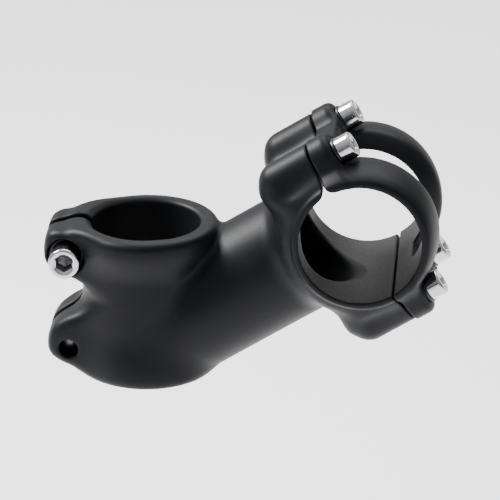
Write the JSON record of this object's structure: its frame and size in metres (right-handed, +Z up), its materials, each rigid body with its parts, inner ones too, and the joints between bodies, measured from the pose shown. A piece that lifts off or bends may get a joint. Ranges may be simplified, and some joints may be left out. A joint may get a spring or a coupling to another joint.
{
  "type": "handlebar stem",
  "caption": "Threadless bicycle handlebar stem: split steerer clamp with opposed pinch bolts, rising round tube and an open-window faceplate bolted over the handlebar.",
  "frame": {"origin": "on the steerer axis at the clamp's bottom face", "axes": "+Z up the steerer, +X forwards to the handlebar, +Y the far side of the stem; the handlebar lies along Y"},
  "size_m": [0.106, 0.0438, 0.0715],
  "materials": {
    "frame_black": "satin black anodised over fine bead blast",
    "bolt_chrome": "bright plated",
    "washer_black": "black oxide"
  },
  "bodies": {
    "stem": {"stem_body": "frame_black"},
    "plate": {"faceplate": "frame_black"},
    "washer_plate_upper_near": {"plate_washer_upper_near": "washer_black"},
    "bolt_plate_upper_near": {"plate_bolt_upper_near": "bolt_chrome"},
    "washer_plate_upper_far": {"plate_washer_upper_far": "washer_black"},
    "bolt_plate_upper_far": {"plate_bolt_upper_far": "bolt_chrome"},
    "washer_plate_lower_near": {"plate_washer_lower_near": "washer_black"},
    "bolt_plate_lower_near": {"plate_bolt_lower_near": "bolt_chrome"},
    "washer_plate_lower_far": {"plate_washer_lower_far": "washer_black"},
    "bolt_plate_lower_far": {"plate_bolt_lower_far": "bolt_chrome"},
    "washer_pinch_upper": {"pinch_washer_upper": "washer_black"},
    "bolt_pinch_upper": {"pinch_bolt_upper": "bolt_chrome"},
    "washer_pinch_lower": {"pinch_washer_lower": "washer_black"},
    "bolt_pinch_lower": {"pinch_bolt_lower": "bolt_chrome"}
  },
  "joints": [
    {"name": "faceplate_lift", "type": "slide", "parent": "stem", "child": "plate", "axis": [0.8517, 0, 0.524], "range_m": [0, 0.03]},
    {"name": "back_out_plate_upper_near", "type": "slide", "parent": "plate", "child": "washer_plate_upper_near", "axis": [0.8517, 0, 0.524], "range_m": [0, 0.0098]},
    {"name": "turn_plate_upper_near", "type": "hinge", "parent": "washer_plate_upper_near", "child": "bolt_plate_upper_near", "pos_m": [0.05142, -0.012, 0.06645], "axis": [0.8517, 0, 0.524], "range_deg": [0, 5060]},
    {"name": "back_out_plate_upper_far", "type": "slide", "parent": "plate", "child": "washer_plate_upper_far", "axis": [0.8517, 0, 0.524], "range_m": [0, 0.0098]},
    {"name": "turn_plate_upper_far", "type": "hinge", "parent": "washer_plate_upper_far", "child": "bolt_plate_upper_far", "pos_m": [0.05142, 0.012, 0.06645], "axis": [0.8517, 0, 0.524], "range_deg": [0, 5060]},
    {"name": "back_out_plate_lower_near", "type": "slide", "parent": "plate", "child": "washer_plate_lower_near", "axis": [0.8517, 0, 0.524], "range_m": [0, 0.0098]},
    {"name": "turn_plate_lower_near", "type": "hinge", "parent": "washer_plate_lower_near", "child": "bolt_plate_lower_near", "pos_m": [0.07447, -0.012, 0.02898], "axis": [0.8517, 0, 0.524], "range_deg": [0, 5060]},
    {"name": "back_out_plate_lower_far", "type": "slide", "parent": "plate", "child": "washer_plate_lower_far", "axis": [0.8517, 0, 0.524], "range_m": [0, 0.0098]},
    {"name": "turn_plate_lower_far", "type": "hinge", "parent": "washer_plate_lower_far", "child": "bolt_plate_lower_far", "pos_m": [0.07447, 0.012, 0.02898], "axis": [0.8517, 0, 0.524], "range_deg": [0, 5060]},
    {"name": "back_out_pinch_upper", "type": "slide", "parent": "stem", "child": "washer_pinch_upper", "axis": [0, -1, 0], "range_m": [0, 0.0088]},
    {"name": "turn_pinch_upper", "type": "hinge", "parent": "washer_pinch_upper", "child": "bolt_pinch_upper", "pos_m": [-0.0203, -0.0076, 0.0342], "axis": [0, -1, 0], "range_deg": [0, 3980]},
    {"name": "back_out_pinch_lower", "type": "slide", "parent": "stem", "child": "washer_pinch_lower", "axis": [0, 1, 0], "range_m": [0, 0.0088]},
    {"name": "turn_pinch_lower", "type": "hinge", "parent": "washer_pinch_lower", "child": "bolt_pinch_lower", "pos_m": [-0.02, 0.0076, 0.0084], "axis": [0, 1, 0], "range_deg": [0, 3980]}
  ],
  "couplings": [
    {"joint": "turn_plate_upper_near", "follows": "back_out_plate_upper_near", "rad_per_m": 8976},
    {"joint": "turn_plate_upper_far", "follows": "back_out_plate_upper_far", "rad_per_m": 8976},
    {"joint": "turn_plate_lower_near", "follows": "back_out_plate_lower_near", "rad_per_m": 8976},
    {"joint": "turn_plate_lower_far", "follows": "back_out_plate_lower_far", "rad_per_m": 8976},
    {"joint": "turn_pinch_upper", "follows": "back_out_pinch_upper", "rad_per_m": 7854},
    {"joint": "turn_pinch_lower", "follows": "back_out_pinch_lower", "rad_per_m": 7854}
  ]
}
